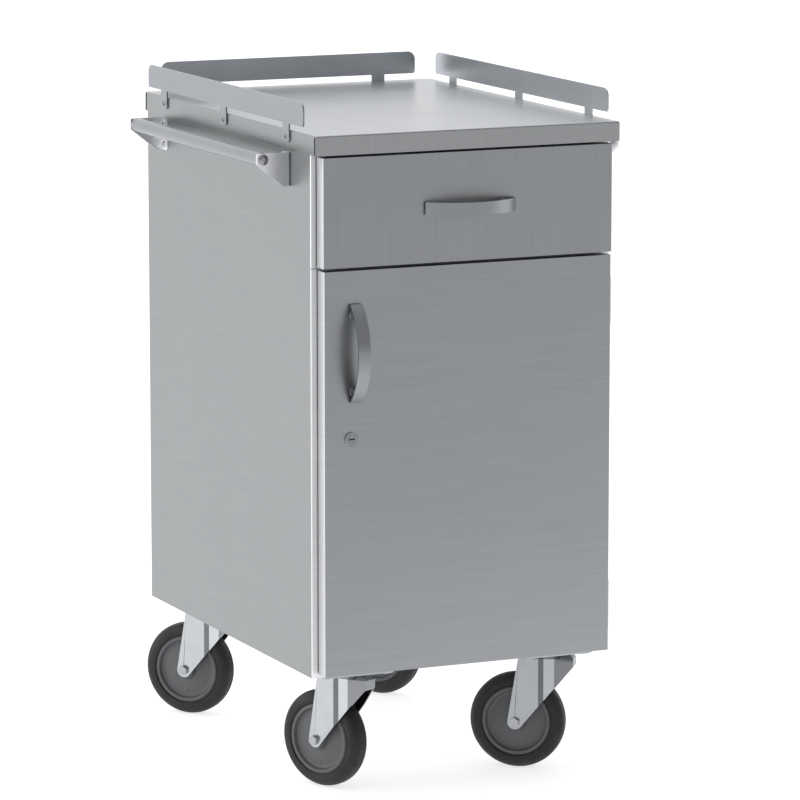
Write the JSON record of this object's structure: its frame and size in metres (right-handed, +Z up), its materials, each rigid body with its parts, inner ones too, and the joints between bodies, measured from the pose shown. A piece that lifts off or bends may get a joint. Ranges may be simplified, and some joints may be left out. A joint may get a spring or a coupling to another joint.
{
  "type": "bedside cabinet",
  "caption": "Steel bedside cabinet on swivel casters, with a drawer over a lockable door, guard rails round the top and a push bar on each side.",
  "frame": {"origin": "on the floor, under the middle of the whole cabinet's box at rest", "axes": "+Z up, -Y towards the front (drawer and door), -X to the left as seen from the front"},
  "size_m": [0.503, 0.6308, 0.884],
  "materials": {
    "steel_body": "brushed stainless steel sheet",
    "steel_front": "brushed stainless steel sheet, grain level",
    "steel_tube": "satin stainless steel tube and strip",
    "zinc_plate": "bright zinc-plated steel",
    "fastener_steel": "plain stainless steel",
    "lock_chrome": "chrome-plated zinc casting",
    "fork_steel": "bright zinc-plated pressed steel",
    "rim_plastic": "grey moulded polyamide",
    "tyre_rubber": "black solid rubber",
    "bumper_rubber": "dark soft rubber"
  },
  "bodies": {
    "cabinet": {"side_panel_left": "steel_body", "side_panel_right": "steel_body", "back_panel": "steel_body", "bottom_panel": "steel_body", "middle_panel": "steel_body", "top_cross_rails": "steel_body", "top_tray": "steel_body", "guard_rail_left": "steel_tube", "guard_rail_right": "steel_tube", "guard_rail_back": "steel_tube", "body_rivets": "fastener_steel", "push_bar_left": "steel_tube", "push_bar_right": "steel_tube", "push_bar_brackets_left": "steel_tube", "push_bar_brackets_right": "steel_tube", "push_bar_screws": "fastener_steel", "slide_spacers": "zinc_plate", "slide_outer_members": "zinc_plate", "hinge_frame_leaves": "steel_tube", "hinge_pins": "fastener_steel", "hinge_frame_screws": "fastener_steel", "shelf": "steel_body", "shelf_supports": "steel_body", "front_bumpers": "bumper_rubber", "caster_plates": "zinc_plate", "caster_kingpins": "zinc_plate", "caster_bolts": "zinc_plate"},
    "slide_middles": {"slide_middle_members": "zinc_plate"},
    "drawer": {"drawer_front": "steel_front", "drawer_front_liner": "steel_body", "drawer_box": "steel_body", "drawer_pull": "steel_tube", "drawer_fasteners": "fastener_steel", "slide_inner_members": "zinc_plate"},
    "door": {"door_skin": "steel_front", "door_liner": "steel_body", "door_pull": "steel_tube", "door_fasteners": "fastener_steel", "lock_housing": "lock_chrome", "lock_nut": "zinc_plate", "hinge_door_leaves": "steel_tube"},
    "lock": {"lock_plug": "lock_chrome", "lock_cam": "zinc_plate", "lock_cam_screw": "zinc_plate"},
    "swivel_front_left": {"caster_fork_front_left": "fork_steel", "caster_axle_front_left": "fastener_steel"},
    "wheel_front_left": {"wheel_rim_front_left": "rim_plastic", "wheel_tyre_front_left": "tyre_rubber"},
    "swivel_front_right": {"caster_fork_front_right": "fork_steel", "caster_axle_front_right": "fastener_steel"},
    "wheel_front_right": {"wheel_rim_front_right": "rim_plastic", "wheel_tyre_front_right": "tyre_rubber"},
    "swivel_rear_left": {"caster_fork_rear_left": "fork_steel", "caster_axle_rear_left": "fastener_steel"},
    "wheel_rear_left": {"wheel_rim_rear_left": "rim_plastic", "wheel_tyre_rear_left": "tyre_rubber"},
    "swivel_rear_right": {"caster_fork_rear_right": "fork_steel", "caster_axle_rear_right": "fastener_steel"},
    "wheel_rear_right": {"wheel_rim_rear_right": "rim_plastic", "wheel_tyre_rear_right": "tyre_rubber"}
  },
  "joints": [
    {"name": "drawer_slide", "type": "slide", "parent": "cabinet", "child": "drawer", "axis": [0, -1, 0], "range_m": [0, 0.4]},
    {"name": "slide_middle_slide", "type": "slide", "parent": "cabinet", "child": "slide_middles", "axis": [0, -1, 0], "range_m": [0, 0.2]},
    {"name": "door_hinge", "type": "hinge", "parent": "cabinet", "child": "door", "pos_m": [0.2023, -0.26838, 0.42025], "axis": [0, 0, 1], "range_deg": [0, 110]},
    {"name": "lock_turn", "type": "hinge", "parent": "door", "child": "lock", "pos_m": [-0.162, -0.28538, 0.465], "axis": [0, 1, 0], "range_deg": [0, 90]},
    {"name": "swivel_front_left_turn", "type": "hinge", "parent": "cabinet", "child": "swivel_front_left", "pos_m": [-0.14, -0.21838, 0.1535], "axis": [0, 0, 1], "continuous": true},
    {"name": "wheel_front_left_roll", "type": "hinge", "parent": "swivel_front_left", "child": "wheel_front_left", "pos_m": [-0.15589, -0.18719, 0.0625], "axis": [0.891, 0.454, 0], "continuous": true},
    {"name": "swivel_front_right_turn", "type": "hinge", "parent": "cabinet", "child": "swivel_front_right", "pos_m": [0.14, -0.21838, 0.1535], "axis": [0, 0, 1], "continuous": true},
    {"name": "wheel_front_right_roll", "type": "hinge", "parent": "swivel_front_right", "child": "wheel_front_right", "pos_m": [0.11242, -0.19683, 0.0625], "axis": [0.6157, 0.788, 0], "continuous": true},
    {"name": "swivel_rear_left_turn", "type": "hinge", "parent": "cabinet", "child": "swivel_rear_left", "pos_m": [-0.14, 0.23162, 0.1535], "axis": [0, 0, 1], "continuous": true},
    {"name": "wheel_rear_left_roll", "type": "hinge", "parent": "swivel_rear_left", "child": "wheel_rear_left", "pos_m": [-0.16342, 0.25763, 0.0625], "axis": [0.7431, 0.6691, 0], "continuous": true},
    {"name": "swivel_rear_right_turn", "type": "hinge", "parent": "cabinet", "child": "swivel_rear_right", "pos_m": [0.14, 0.23162, 0.1535], "axis": [0, 0, 1], "continuous": true},
    {"name": "wheel_rear_right_roll", "type": "hinge", "parent": "swivel_rear_right", "child": "wheel_rear_right", "pos_m": [0.11993, 0.26029, 0.0625], "axis": [0.8192, 0.5736, 0], "continuous": true}
  ],
  "couplings": [
    {"joint": "slide_middle_slide", "follows": "drawer_slide", "ratio": 0.5}
  ]
}
